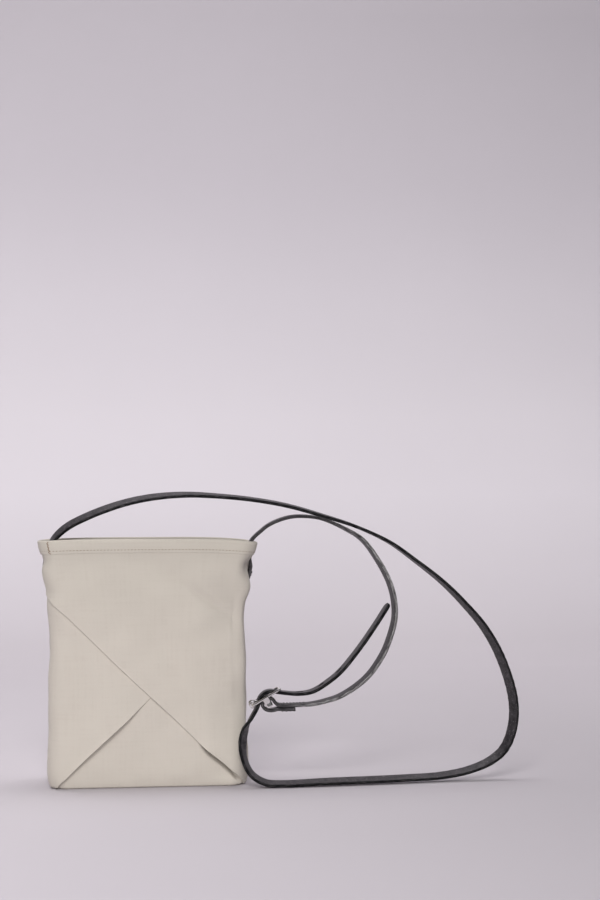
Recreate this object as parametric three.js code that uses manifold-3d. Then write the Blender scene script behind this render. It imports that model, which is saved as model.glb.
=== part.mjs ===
// Standing canvas bag with folded front panels and a two-part leather strap closed by a roller buckle.
// Millimetres, +Z up. The origin is the middle of the base and the front faces -Y.
import * as THREE from "three";
import { mergeVertices } from "three/addons/utils/BufferGeometryUtils.js";
import Module from "manifold-3d";

const wasm = await Module();
wasm.setup();

// Canvas body: base, belly and rim, each with its width, depth and corner radius
const BAG_HEIGHT = 247;
const BASE_WIDTH = 186;
const BASE_DEPTH = 68;
const BASE_CORNER = 14;
const BODY_WIDTH = 200;
const BODY_DEPTH = 74;
const BODY_CORNER = 18;
const RIM_WIDTH = 221;
const RIM_DEPTH = 40;
const RIM_CORNER = 16;
const SWELL_HEIGHT = 20;
const NECK_HEIGHT = 97;
const RIM_DIP_LEFT = 2;
const RIM_DIP_RIGHT = 4.4;
const GUSSET_TUCK = 3.5;
const TUCK_DROP = 34;
const TUCK_SPREAD = 20;
const CANVAS = 1;
const GAP = 0.3;

// Folded front panels: the two diagonals meet at the peak
const PEAK_X = 2;
const PEAK_HEIGHT = 91;
const LONG_FOLD_SLOPE = 0.96;
const SHORT_FOLD_SLOPE = 0.94;
const FOLD_OVERLAP = 12;
const FOLD_FLAT = 3;
const FOLD_EASE = 52;
const FOLD_FOOT = 2;
const STACK_NEAR = 14;
const STACK_FAR = 62;
const PANEL_REACH = 1.85;

// Hem round the mouth
const HEM_HEIGHT = 13;
const HEM_INSIDE = 9;
const HEM_TUCK = 5;
const HEM_EASE = 0.35;

// Leather strap, its holes and its ends at the gussets
const STRAP_WIDTH = 12;
const STRAP_THICKNESS = 3.5;
const STRAP_EDGE = 0.9;
const HOLE_LENGTH = 7.6;
const HOLE_PITCH = 24;
const HOLES_TO_TAIL = 4;
const HOLES_TO_BAG = 2;
const TAB_DROP = 39;
const SLIT_DROP = 27;
const SLIT_LENGTH = 13;
const SLIT_PLAY = 1;
const SLIT_EASE = 1;
const SLIT_LEAN = 0.4;
const RIVET_DROP = 32.5;
const RIVET_HEAD = 7;
const RIVET_SHANK = 2.6;
const SWING_GAP = 0.4;
const SWING_RISE = 7;
const LEFT_SWING_INSET = 21.5;
const RIGHT_SWING_OUTSET = 4.5;
const LEFT_BEND_INSET = 10.5;
const LEFT_BEND_DROP = 7;
const LEFT_MOUTH_INSET = 15;
const RIGHT_BEND_INSET = 5.5;
const RIGHT_BEND_DROP = 3.4;
const RIGHT_MOUTH_INSET = 1.5;
const RIGHT_MOUTH_RISE = 1.8;

// Roller buckle: a wire frame with its centre bar held below it on two lugs
const WIRE = 2.6;
const BAR = 4;
const FRAME_FRONT = 14.4;
const FRAME_REAR = 17.2;
const FRAME_RISE = 7.5;
const FRAME_BEND = 3;
const LUG_WIDTH = 7;
const LUG_WALL = 1.6;
const ROLLER_OUTSIDE = 6.5;
const ROLLER_WALL = 0.8;
const PRONG_THICKNESS = 1.5;
const PRONG_WIDTH = 2.4;
const PRONG_PLAY = 0.6;
const FOLD_PLAY = 0.6;
const ROLLER_PLAY = 0.35;
const REAR_PLAY = 0.8;
const ROLLER_SIDE = -48;
const REAR_SIDE = 208;
const BUCKLE_TILT = 30.5;
const BUCKLE_PLACE = new THREE.Vector3(120, -33, 81.8);

// Long strap over the fold: its clearance and its angle about the centre bar
const OVER_FOLD = [
  [0.6, 116],
  [1.8, 77],
  [2.9, 50],
];

// Fold of the short strap about the centre bar: its upper layer and its way back as x and z, and its bend
const FOLD_UPPER = [
  [28, -1.8],
  [17.5, -2],
  [12, -1.6],
  [9, -0.8],
  [6.7, 1.3],
];
const FOLD_BEND = [38, 72, 106, 140, 174, 208, 242];
const FOLD_HEEL = [1.5, -0.45];
const FOLD_UNDER = [
  [5.5, -2.5],
  [9.5, -1.6],
  [17.5, -2],
  [27, -1.8],
];
const SLOT_FOOT = [78, 160];
const SLOT_MOUTH = [86, 118, 150];
const SLOT_REACH = 1.8;

// Prong: angles of its curl, then distances behind the roller with rises above the curl or drops below the crest
const PRONG_CURL = [200, 235, 270, 305, 340, 15, 50, 85];
const PRONG_NECK = [10.8, 1.2];
const PRONG_CROSSING = [7.5, 4];
const PRONG_NOSE = [
  [5, 2.9],
  [2.6, 0.7],
  [0, 0],
  [-2.4, 0.7],
];

// Middle line of the long strap as x, y, z and twist in degrees, from the left swing point to the buckle
const SWING_HEIGHT = BAG_HEIGHT + SWING_RISE;
const LEFT_SWING = [LEFT_SWING_INSET - RIM_WIDTH / 2, 0, SWING_HEIGHT, 0];
const RIGHT_SWING = [RIM_WIDTH / 2 + RIGHT_SWING_OUTSET, 0, SWING_HEIGHT, 0];
const LONG_RUN = [
  LEFT_SWING,
  [-79, -1, 261.5, 26],
  [-62, -2, 270, 29],
  [-42, -3, 278, 28],
  [-19, -4, 285, 25],
  [8, -5.5, 290, 22],
  [40, -7, 292, 16],
  [72, -9, 290.5, 11],
  [106, -11, 287, 9],
  [142, -13, 280.5, 8],
  [177, -15, 270.5, 6],
  [212, -17, 259, 2],
  [246, -19, 243, -4],
  [272, -20, 224.5, -8],
  [301, -22, 201.5, -14],
  [324, -23, 178.5, -20],
  [344, -24, 154.5, -26],
  [361, -25, 123.5, -32],
  [373.5, -27, 80.5, -36],
  [372, -29, 52, -34],
  [363, -30, 31, -30],
  [349, -31, 19.5, -26],
  [327, -33, 11, -20],
  [298, -36, 6.2, -18],
  [254, -41, 5, -17],
  [180, -47, 4.5, -17],
  [132, -49, 3.6, -14],
  [116, -49, 5, -17],
  [102, -48, 13.5, -21],
  [94.6, -46.5, 28.5, -24],
  [93.2, -44.5, 45.5, -40],
  [96, -41.5, 57, -34],
  [101.5, -38, 66.5, -1],
];

// The free tail of the long strap past the buckle, up to its tip against the short strap
const TAIL_RUN = [
  [150, -30, 91, 2],
  [165, -29, 93, 5],
  [180.5, -27, 101.5, 7],
  [194, -25, 112, 8],
  [214, -20, 134.5, 8],
  [231.5, -16, 158, 8],
  [246.2, -12.5, 179.5, 8],
];

// Middle line of the short strap from the right swing point to the stitched fold at the buckle
const SHORT_RUN = [
  RIGHT_SWING,
  [121, 0.8, 258.9, 0],
  [130.2, 1.5, 263.8, 1],
  [143.7, 2.4, 268.1, 2],
  [157, 3, 269.3, 2],
  [178, 4, 266.6, 0],
  [203, 3.5, 256, -4],
  [221, 2, 244.5, -8],
  [238, -2, 221, -12],
  [248, -7, 200, -12],
  [252, -11, 182, -12],
  [252, -14, 165, -12],
  [246.5, -18, 146, -12],
  [238, -21, 127.5, -12],
  [220, -26, 105, -10],
  [194, -29, 88, -6],
  [180, -30, 83.6, -4],
  [165, -31, 80.6, -2],
];

// Closed solid as a three.js geometry, with its faces turned outwards.
function closedGeometry(points, triangles) {
  const volume = triangles.reduce((sum, [i, j, k]) => {
    const cross = new THREE.Vector3().crossVectors(points[j], points[k]);
    return sum + points[i].dot(cross);
  }, 0);
  const faces = volume < 0 ? triangles.map(([i, j, k]) => [i, k, j]) : triangles;
  const geometry = new THREE.BufferGeometry();
  geometry.setFromPoints(points);
  geometry.setIndex(faces.flat());
  return geometry;
}

// Solid lofted through rings with equal, even numbers of points. Unless it closes on itself, its ends are
// capped by strips between the first and the second half of the ring.
function loft(rings, closes = false) {
  const count = rings[0].length;
  const points = rings.flat();
  const triangles = [];
  const spans = closes ? rings.length : rings.length - 1;
  for (let i = 0; i < spans; i++) {
    const here = i * count;
    const next = ((i + 1) % rings.length) * count;
    for (let j = 0; j < count; j++) {
      const k = (j + 1) % count;
      triangles.push([here + j, here + k, next + k], [here + j, next + k, next + j]);
    }
  }
  if (!closes) {
    const last = (rings.length - 1) * count;
    for (let j = 0; j < count / 2 - 1; j++) {
      const m = count - 1 - j;
      triangles.push([j + 1, j, m], [j + 1, m, m - 1]);
      triangles.push([last + j, last + j + 1, last + m], [last + j + 1, last + m - 1, last + m]);
    }
  }
  return closedGeometry(points, triangles);
}

// manifold-3d solid of a closed geometry, and the geometry of a solid
function solid(geometry) {
  const bare = geometry.index ? geometry.toNonIndexed() : geometry.clone();
  bare.deleteAttribute("normal");
  bare.deleteAttribute("uv");
  const merged = mergeVertices(bare, 1e-4);
  const vertProperties = merged.getAttribute("position").array;
  const triVerts = new Uint32Array(merged.index.array);
  return new wasm.Manifold(new wasm.Mesh({ numProp: 3, vertProperties, triVerts }));
}

function geometryOf(made) {
  const mesh = made.getMesh();
  const geometry = new THREE.BufferGeometry();
  geometry.setAttribute("position", new THREE.BufferAttribute(mesh.vertProperties, 3));
  geometry.setIndex(new THREE.BufferAttribute(mesh.triVerts, 1));
  geometry.computeVertexNormals();
  return geometry;
}

// Materials
function canvas(colour) {
  return new THREE.MeshStandardMaterial({ color: colour, roughness: 0.95, metalness: 0 });
}

function leather() {
  return new THREE.MeshStandardMaterial({ color: 0x37343a, roughness: 0.6, metalness: 0 });
}

function nickel() {
  return new THREE.MeshStandardMaterial({ color: 0xc9c6c8, roughness: 0.25, metalness: 1 });
}

const part = new THREE.Group();

function add(name, geometry, material, parent = part) {
  const mesh = new THREE.Mesh(geometry, material);
  mesh.name = name;
  parent.add(mesh);
  return mesh;
}

function ease(from, to, value) {
  return THREE.MathUtils.smoothstep(value, from, to);
}

// Width, depth and corner radius of the bag at a height
function section(z) {
  const foot = Math.min(z / SWELL_HEIGHT, 1);
  const swell = Math.sqrt(1 - (1 - foot) ** 2);
  const neck = Math.max(0, 1 + (z - BAG_HEIGHT) / NECK_HEIGHT) ** 2;
  const size = (base, body, rim) => base + (body - base) * swell + (rim - body) * neck;
  return {
    a: size(BASE_WIDTH, BODY_WIDTH, RIM_WIDTH) / 2,
    b: size(BASE_DEPTH, BODY_DEPTH, RIM_DEPTH) / 2,
    r: size(BASE_CORNER, BODY_CORNER, RIM_CORNER),
  };
}

// Point on the canvas. The way round is told by p: 0 to 1 along the front from its middle, 1 to 2 round the
// front corner, 2 to 3 along the gusset, 3 to 4 round the back corner and 4 to 5 along the back.
// On the left half p is negative.
function onBag(p, z, off = 0) {
  const { a, b, r } = section(z);
  const q = Math.abs(p);
  const turn = (THREE.MathUtils.clamp(q - 1, 0, 1) + THREE.MathUtils.clamp(q - 3, 0, 1)) * (Math.PI / 2);
  const along = Math.min(q, 1) - THREE.MathUtils.clamp(q - 4, 0, 1);
  const back = THREE.MathUtils.clamp(q - 2, 0, 1);
  const pull = Math.exp(-(((BAG_HEIGHT - TUCK_DROP - z) / TUCK_SPREAD) ** 2));
  const tuck = GUSSET_TUCK * pull * (1 - (2 * back - 1) ** 4);
  const x = (a - r) * along + (r + off) * Math.sin(turn) - tuck;
  const y = (b - r) * (2 * back - 1) - (r + off) * Math.cos(turn);
  const drop = p < 0 ? RIM_DIP_LEFT : RIM_DIP_RIGHT;
  const dip = drop * (x / a) ** 4 * (z / BAG_HEIGHT) ** 3;
  return new THREE.Vector3(Math.sign(p) * x, y, z - dip);
}

// Distance from the middle of the front to p, measured along the belly
function unrolled(p) {
  const { a, r } = section(BAG_HEIGHT - NECK_HEIGHT);
  const corner = Math.max(0, Math.abs(p) - 1) * r * (Math.PI / 2);
  return Math.sign(p) * ((a - r) * Math.min(Math.abs(p), 1) + corner);
}

// Stops of a ring right round the bag
const CORNER_STEPS = 6;
const FRONT_STOPS = [0.02, 0.5];
const GUSSET_STOPS = [2.12, 2.27, 2.73, 2.88];
const BACK_STOPS = [4.5, 4.98];
const ROUND = [];
for (const side of [1, -1]) {
  const half = [...FRONT_STOPS];
  for (let i = 0; i <= CORNER_STEPS; i++) half.push(1 + i / CORNER_STEPS);
  half.push(...GUSSET_STOPS);
  for (let i = 0; i <= CORNER_STEPS; i++) half.push(3 + i / CORNER_STEPS);
  half.push(...BACK_STOPS);
  if (side < 0) half.reverse();
  ROUND.push(...half.map((p) => p * side));
}

const SWELL_SHARES = [0, 0.04, 0.15, 0.35, 0.65, 1];
const NECK_LEVELS = 7;
const NECK_START = BAG_HEIGHT - NECK_HEIGHT;
const LEVELS = SWELL_SHARES.map((share) => share * SWELL_HEIGHT);
LEVELS.push((SWELL_HEIGHT + NECK_START) / 2, BAG_HEIGHT - TUCK_DROP);
for (let i = 0; i <= NECK_LEVELS; i++) LEVELS.push(NECK_START + (NECK_HEIGHT * i) / NECK_LEVELS);
LEVELS.sort((low, high) => low - high);

// Canvas body: an open shell whose outside is the bag and whose inside is one layer smaller
function bagSolid(levels, off) {
  return solid(loft(levels.map((z) => ROUND.map((p) => onBag(p, z, off)))));
}
const inside = [CANVAS, ...LEVELS.filter((z) => z > 2 * CANVAS), BAG_HEIGHT + HEM_HEIGHT];
const shell = bagSolid(LEVELS, 0).subtract(bagSolid(inside, -CANVAS));

// Gusset frame: a group turned so that its X leaves the canvas at a drop below the rim
function gussetFrame(side, drop) {
  const z = BAG_HEIGHT - drop;
  const here = onBag(2.5 * side, z);
  const lean = Math.atan2(onBag(2.5, z + 1).x - onBag(2.5, z).x, 1);
  const frame = new THREE.Group();
  frame.position.copy(here);
  frame.rotation.set(0, side > 0 ? lean : Math.PI - lean, 0);
  frame.updateMatrixWorld(true);
  return frame;
}

function inFrame(geometry, frame) {
  return geometry.clone().applyMatrix4(frame.matrixWorld);
}

// Rivet through the strap end and the canvas: its head outside, and its shank to the cap inside
const HEAD_DOME = 1.4;
const CAP_DOME = 1.2;
const headSeat = STRAP_THICKNESS + 2 * GAP;
const capSeat = -CANVAS - GAP;
const shankEnd = capSeat - CAP_DOME;

function profile(points) {
  const geometry = new THREE.LatheGeometry(points.map(([r, x]) => new THREE.Vector2(r, x)), 16);
  geometry.rotateZ(-Math.PI / 2);
  return geometry;
}

function rivetGeometry() {
  const shank = RIVET_SHANK / 2;
  const head = RIVET_HEAD / 2;
  return profile([
    [0, shankEnd],
    [shank, shankEnd],
    [shank, headSeat],
    [head, headSeat],
    [head * 0.92, headSeat + HEAD_DOME * 0.55],
    [head * 0.55, headSeat + HEAD_DOME],
    [0, headSeat + HEAD_DOME],
  ]);
}

function capGeometry() {
  const bore = RIVET_SHANK / 2 + GAP;
  const rim = RIVET_HEAD / 2;
  return profile([
    [bore, capSeat - CAP_DOME],
    [rim * 0.8, capSeat - CAP_DOME],
    [rim, capSeat - CAP_DOME * 0.4],
    [rim, capSeat],
    [bore, capSeat],
    [bore, capSeat - CAP_DOME],
  ]);
}

function rivetHole() {
  const radius = RIVET_SHANK / 2 + GAP;
  const hole = new THREE.CylinderGeometry(radius, radius, 4 * headSeat, 16);
  return hole.rotateZ(Math.PI / 2);
}

// Slit in a gusset that the strap end passes through, just under the hem
const SLIT_WIDTH = STRAP_WIDTH + 2 * SLIT_PLAY;
let body = shell;
for (const side of [1, -1]) {
  const slit = new THREE.BoxGeometry(4 * headSeat, SLIT_WIDTH, SLIT_LENGTH);
  const middle = gussetFrame(side, SLIT_DROP - SLIT_LENGTH / 2 + GAP);
  body = body.subtract(solid(inFrame(slit, middle)));
  body = body.subtract(solid(inFrame(rivetHole(), gussetFrame(side, RIVET_DROP))));
}
add("canvas_body", geometryOf(body), canvas(0xb9b0a3));

// Heights of the two folded edges above a stop of the front
function longFold(p) {
  return Math.max(FOLD_FOOT, PEAK_HEIGHT - LONG_FOLD_SLOPE * (unrolled(p) - PEAK_X));
}

function shortFold(p) {
  return Math.max(FOLD_FOOT, PEAK_HEIGHT + SHORT_FOLD_SLOPE * (unrolled(p) - PEAK_X));
}

// Panel of one canvas layer on the front: columns between a lower and an upper edge. lift is its distance
// from the body, larger where it lies over others. spacing sets its rows closer together where it bends.
const towardsEdges = (share) => (1 - Math.cos(Math.PI * share)) / 2;
const towardsFoot = (share) => share ** 1.8;

function panel(columns, rows, low, high, lift, spacing = towardsEdges) {
  const sheet = (extra) =>
    columns.map((p) =>
      Array.from({ length: rows + 1 }, (_, i) => {
        const z = low(p) + (high(p) - low(p)) * spacing(i / rows);
        return onBag(p, z, lift(p, z) + extra);
      }),
    );
  const under = sheet(0);
  const over = sheet(CANVAS);
  return loft(columns.map((_, i) => [...under[i], ...over[i].reverse()]));
}

function spread(from, to, count) {
  return Array.from({ length: count + 1 }, (_, i) => from + ((to - from) * i) / count);
}

const LAYER = CANVAS + GAP;
const peakP = PEAK_X / (section(NECK_START).a - section(NECK_START).r);
const easeStart = FOLD_OVERLAP + FOLD_FLAT;
const stacked = (p) => 2 - ease(STACK_NEAR, STACK_FAR, Math.abs(unrolled(p) - PEAK_X));
const eased = (z, edge) => 1 - ease(easeStart, easeStart + FOLD_EASE, z - edge);
const wrapTop = () => BAG_HEIGHT - HEM_HEIGHT + HEM_TUCK;
const underHem = (z) => 1 - ease(wrapTop() - 3 * HEM_HEIGHT, wrapTop() - HEM_HEIGHT, z);

add(
  "front_wrap_panel",
  panel(spread(-PANEL_REACH, PANEL_REACH, 26), 16, longFold, wrapTop, (p, z) =>
    GAP + stacked(p) * LAYER * eased(z, longFold(p)) * underHem(z)),
  canvas(0xcbc3b7),
);
add(
  "left_fold_panel",
  panel(
    spread(-PANEL_REACH, peakP + 0.1, 14),
    12,
    shortFold,
    (p) => longFold(p) + FOLD_OVERLAP,
    (p, z) => GAP + LAYER * eased(z, shortFold(p)),
    towardsFoot,
  ),
  canvas(0xc6beb2),
);
add(
  "base_fold_panel",
  panel(
    spread(-PANEL_REACH, PANEL_REACH, 26),
    9,
    () => FOLD_FOOT,
    (p) => Math.min(longFold(p), shortFold(p)) + FOLD_OVERLAP,
    () => GAP,
  ),
  canvas(0xc1b9ad),
);

// Hem: a folded binding over the top edge, standing off the front where the wrap panel is tucked under it
function hemRing(p) {
  const front = GAP + (LAYER + HEM_EASE) * (1 - ease(PANEL_REACH + 0.1, PANEL_REACH + 0.6, Math.abs(p)));
  const back = -CANVAS - GAP;
  const top = BAG_HEIGHT + GAP;
  const corners = [
    [front, BAG_HEIGHT - HEM_HEIGHT],
    [front + CANVAS, BAG_HEIGHT - HEM_HEIGHT],
    [front + CANVAS, top + CANVAS * 0.5],
    [front + CANVAS * 0.5, top + CANVAS],
    [back - CANVAS * 0.5, top + CANVAS],
    [back - CANVAS, top + CANVAS * 0.5],
    [back - CANVAS, BAG_HEIGHT - HEM_INSIDE],
    [back, BAG_HEIGHT - HEM_INSIDE],
    [back, top],
    [front, top],
  ];
  return corners.map(([off, z]) => onBag(p, z, off));
}
add("rim_hem", loft(ROUND.map(hemRing), true), canvas(0xc4bcb0));

// Middle line of a strap, with its frame at any distance along it
class StrapLine {
  constructor(route) {
    this.curve = new THREE.CatmullRomCurve3(route.map(([x, y, z]) => new THREE.Vector3(x, y, z)));
    this.curve.arcLengthDivisions = 40 * route.length;
    this.length = this.curve.getLength();
    const lengths = this.curve.getLengths();
    const spans = route.length - 1;
    this.stops = route.map((_, i) => lengths[Math.round((i / spans) * (lengths.length - 1))]);
    this.twists = route.map(([, , , twist]) => THREE.MathUtils.degToRad(twist));
  }

  twist(distance) {
    const next = Math.max(1, this.stops.findIndex((stop) => stop >= distance - 1e-6));
    const from = this.stops[next - 1];
    const share = (distance - from) / (this.stops[next] - from);
    return THREE.MathUtils.lerp(this.twists[next - 1], this.twists[next], share);
  }

  // Place, tangent, width direction and normal at a distance
  frame(distance) {
    const share = THREE.MathUtils.clamp(distance / this.length, 0, 1);
    const place = this.curve.getPointAt(share);
    const tangent = this.curve.getTangentAt(share);
    const across = new THREE.Vector3(0, 1, 0);
    across.addScaledVector(tangent, -across.dot(tangent)).normalize();
    across.applyAxisAngle(tangent, this.twist(share * this.length));
    const normal = new THREE.Vector3().crossVectors(tangent, across);
    return { place, tangent, across, normal };
  }

  // Distance of the point of the line that is nearest to a place
  nearest(place) {
    const tries = spread(0, this.length, 60 * this.stops.length);
    const away = tries.map((d) => this.curve.getPointAt(d / this.length).distanceTo(place));
    return tries[away.indexOf(Math.min(...away))];
  }

  // Distances of the sections of its solid: close together on short spans, wide apart on free runs
  sections(step) {
    const list = [0];
    for (let i = 1; i < this.stops.length; i++) {
      const span = this.stops[i] - this.stops[i - 1];
      const count = span < 0.8 * step ? 2 : Math.ceil(span / (1.6 * step));
      list.push(...spread(this.stops[i - 1], this.stops[i], count).slice(1));
    }
    return list;
  }
}

// Strap solid: a flat section with eased edges. roundStart and roundEnd give half-round ends.
function strapSolid(line, roundStart, roundEnd, width = STRAP_WIDTH, thickness = STRAP_THICKNESS) {
  const reach = width / 2;
  const tip = [0.06, 0.25, 0.5, 0.78, 1].map((share) => reach * (1 - Math.cos((share * Math.PI) / 2)));
  let distances = line.sections(width);
  if (roundStart) distances = [...tip, ...distances.filter((d) => d > 1.2 * reach)];
  if (roundEnd) {
    const free = distances.filter((d) => d < line.length - 1.2 * reach);
    distances = [...free, ...tip.map((d) => line.length - d).reverse()];
  }
  const rings = distances.map((distance) => {
    const { place, across, normal } = line.frame(distance);
    const fromEnd = Math.min(
      roundStart ? distance : reach,
      roundEnd ? line.length - distance : reach,
      reach,
    );
    const half = Math.sqrt(Math.max(0, reach ** 2 - (reach - fromEnd) ** 2));
    const deep = thickness / 2;
    const soft = Math.min(STRAP_EDGE, deep / 2, half / 2);
    const corners = [
      [half - soft, deep],
      [soft - half, deep],
      [-half, deep - soft],
      [-half, soft - deep],
      [soft - half, -deep],
      [half - soft, -deep],
      [half, soft - deep],
      [half, deep - soft],
    ];
    return corners.map(([w, n]) => place.clone().addScaledVector(across, w).addScaledVector(normal, n));
  });
  return solid(loft(rings));
}

// Strap ends: out of the mouth, down behind the hem, out through the slit and down the gusset to the rivet
const inner = -CANVAS - GAP - CANVAS - GAP - STRAP_THICKNESS / 2;
const outer = GAP + STRAP_THICKNESS / 2;
const REACH = STRAP_WIDTH / 2 + SWING_GAP;

function strapEnd(side, swing, above) {
  const place = (drop, off) => {
    const point = onBag(2.5 * side, BAG_HEIGHT - drop, off);
    return [point.x, 0, point.z, 0];
  };
  const route = [
    place(TAB_DROP, outer),
    place(RIVET_DROP, outer),
    place(SLIT_DROP - SLIT_EASE, outer),
    place((SLIT_DROP + HEM_HEIGHT - SLIT_EASE) / 2, (outer + inner) / 2 + SLIT_LEAN),
    place(HEM_HEIGHT - SLIT_EASE, inner),
    ...above,
    swing,
  ];
  const line = new StrapLine(route);
  const cutAt = line.frame(line.length - REACH);
  const keep = strapSolid(line, true, false);
  const nose = new THREE.BoxGeometry(2 * REACH, 2 * STRAP_WIDTH, 2 * STRAP_WIDTH);
  nose.translate(REACH, 0, 0);
  const turn = new THREE.Matrix4().makeBasis(cutAt.tangent, cutAt.across, cutAt.normal);
  nose.applyMatrix4(turn.setPosition(cutAt.place));
  return keep.subtract(solid(nose)).subtract(solid(inFrame(rivetHole(), gussetFrame(side, RIVET_DROP))));
}

const leftEnd = strapEnd(-1, LEFT_SWING, [
  [LEFT_BEND_INSET - RIM_WIDTH / 2, 0, BAG_HEIGHT - LEFT_BEND_DROP, 0],
  [LEFT_MOUTH_INSET - RIM_WIDTH / 2, 0, BAG_HEIGHT, 0],
]);
const rightEnd = strapEnd(1, RIGHT_SWING, [
  [RIM_WIDTH / 2 - RIGHT_BEND_INSET, 0, BAG_HEIGHT - RIGHT_BEND_DROP, 0],
  [RIM_WIDTH / 2 - RIGHT_MOUTH_INSET, 0, BAG_HEIGHT + RIGHT_MOUTH_RISE, 0],
]);
add("left_strap_end", geometryOf(leftEnd), leather());
add("right_strap_end", geometryOf(rightEnd), leather());

for (const [word, side] of [["left", -1], ["right", 1]]) {
  const frame = gussetFrame(side, RIVET_DROP);
  part.add(frame);
  add(`${word}_rivet`, rivetGeometry(), nickel(), frame);
  add(`${word}_rivet_cap`, capGeometry(), nickel(), frame);
}

// Buckle frame of reference: X along the frame to its rear bar, Y along the bars, Z out of the frame
const buckle = new THREE.Group();
buckle.position.copy(BUCKLE_PLACE);
buckle.rotation.set(0, -THREE.MathUtils.degToRad(BUCKLE_TILT), 0);
buckle.updateMatrixWorld(true);
part.add(buckle);

function atBuckle(u, n) {
  const point = new THREE.Vector3(u, 0, n).applyMatrix4(buckle.matrixWorld);
  return [point.x, point.y, point.z, 0];
}

function polar(radius, degrees) {
  const angle = THREE.MathUtils.degToRad(degrees);
  return [radius * Math.cos(angle), radius * Math.sin(angle)];
}

const prongRing = BAR / 2 + GAP + PRONG_THICKNESS / 2;
const foldLine = prongRing + PRONG_THICKNESS / 2 + FOLD_PLAY + STRAP_THICKNESS / 2;
const wrapLine = foldLine + STRAP_THICKNESS + GAP;
const passRoller = ROLLER_OUTSIDE / 2 + GAP + STRAP_THICKNESS / 2;
const passRear = WIRE / 2 + GAP + STRAP_THICKNESS / 2;
const [rollerSideX, rollerSideZ] = polar(passRoller + ROLLER_PLAY, ROLLER_SIDE);
const [rearSideX, rearSideZ] = polar(passRear + REAR_PLAY, REAR_SIDE);

// Long strap: up past the roller, over the fold, under the rear bar and on to its free tail
const longRoute = [
  ...LONG_RUN,
  atBuckle(rollerSideX - FRAME_FRONT, rollerSideZ + FRAME_RISE),
  ...OVER_FOLD.map(([clear, degrees]) => atBuckle(...polar(wrapLine + clear, degrees))),
  atBuckle(FRAME_REAR + rearSideX, FRAME_RISE + rearSideZ),
  ...TAIL_RUN,
];
const flexStart = (route) => {
  const [first, second] = route.slice(0, 2).map(([x, y, z]) => new THREE.Vector3(x, y, z));
  const back = first.clone().sub(second).setLength(STRAP_WIDTH / 2).add(first);
  return [[back.x, back.y, back.z, 0], ...route];
};
const longLine = new StrapLine(flexStart(longRoute));

// Prong line: curled round the centre bar, through the strap's hole and over the roller
const prongTip = FRAME_RISE + ROLLER_OUTSIDE / 2 + GAP + PRONG_THICKNESS / 2;
const risen = ([behind, rise]) => [behind - FRAME_FRONT, prongRing + rise];
const prongRoute = [
  ...PRONG_CURL.map((degrees) => polar(prongRing, degrees)),
  risen(PRONG_NECK),
  risen(PRONG_CROSSING),
  ...PRONG_NOSE.map(([behind, drop]) => [behind - FRAME_FRONT, prongTip - drop]),
];
const prongLine = new StrapLine(prongRoute.map(([u, n]) => [u, 0, n, 0]));

// Punched holes of the long strap, spaced from the one that the prong is in
const [crossX, crossY, crossZ] = atBuckle(...risen(PRONG_CROSSING));
const firstHole = longLine.nearest(new THREE.Vector3(crossX, crossY, crossZ));
const oval = new THREE.Shape();
const holeSide = PRONG_WIDTH / 2 + PRONG_PLAY;
const straight = HOLE_LENGTH / 2 - holeSide;
oval.absarc(straight, 0, holeSide, -Math.PI / 2, Math.PI / 2);
oval.absarc(-straight, 0, holeSide, Math.PI / 2, 1.5 * Math.PI);
const punch = new THREE.ExtrudeGeometry(oval, {
  depth: 3 * STRAP_THICKNESS,
  bevelEnabled: false,
  curveSegments: 6,
});
punch.translate(0, 0, -1.5 * STRAP_THICKNESS);

let longStrap = strapSolid(longLine, true, true);
for (let i = -HOLES_TO_BAG; i <= HOLES_TO_TAIL; i++) {
  const { place, tangent, across, normal } = longLine.frame(firstHole + i * HOLE_PITCH);
  const turn = new THREE.Matrix4().makeBasis(tangent, across, normal).setPosition(place);
  longStrap = longStrap.subtract(solid(punch.clone().applyMatrix4(turn)));
}
add("strap_long", geometryOf(longStrap), leather());

// Short strap: its end goes over the centre bar and back under itself, where it is stitched
const lap = STRAP_THICKNESS + GAP;
const fold = (x, z) => [BUCKLE_PLACE.x + x, BUCKLE_PLACE.y, BUCKLE_PLACE.z + z, 0];
const shortRoute = [
  ...SHORT_RUN,
  ...FOLD_UPPER.map(([x, z]) => fold(x, z)),
  ...FOLD_BEND.map((degrees) => fold(...polar(foldLine, degrees))),
  fold(FOLD_HEEL[0], FOLD_HEEL[1] - foldLine),
  ...FOLD_UNDER.map(([x, z]) => fold(x, z - lap)),
];
const shortLine = new StrapLine(flexStart(shortRoute));

// Slot in the fold that lets the prong out
const slotShape = new THREE.Shape();
slotShape.moveTo(...polar(prongRing, SLOT_FOOT[0]));
for (const degrees of SLOT_MOUTH) slotShape.lineTo(...polar(SLOT_REACH * foldLine, degrees));
slotShape.lineTo(...polar(prongRing, SLOT_FOOT[1]));
const slot = new THREE.ExtrudeGeometry(slotShape, { depth: 2 * holeSide, bevelEnabled: false });
slot.translate(0, 0, -holeSide);
slot.rotateX(Math.PI / 2);
const shortStrap = strapSolid(shortLine, true, false).subtract(solid(inFrame(slot, buckle)));
add("strap_short", geometryOf(shortStrap), leather());

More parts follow.
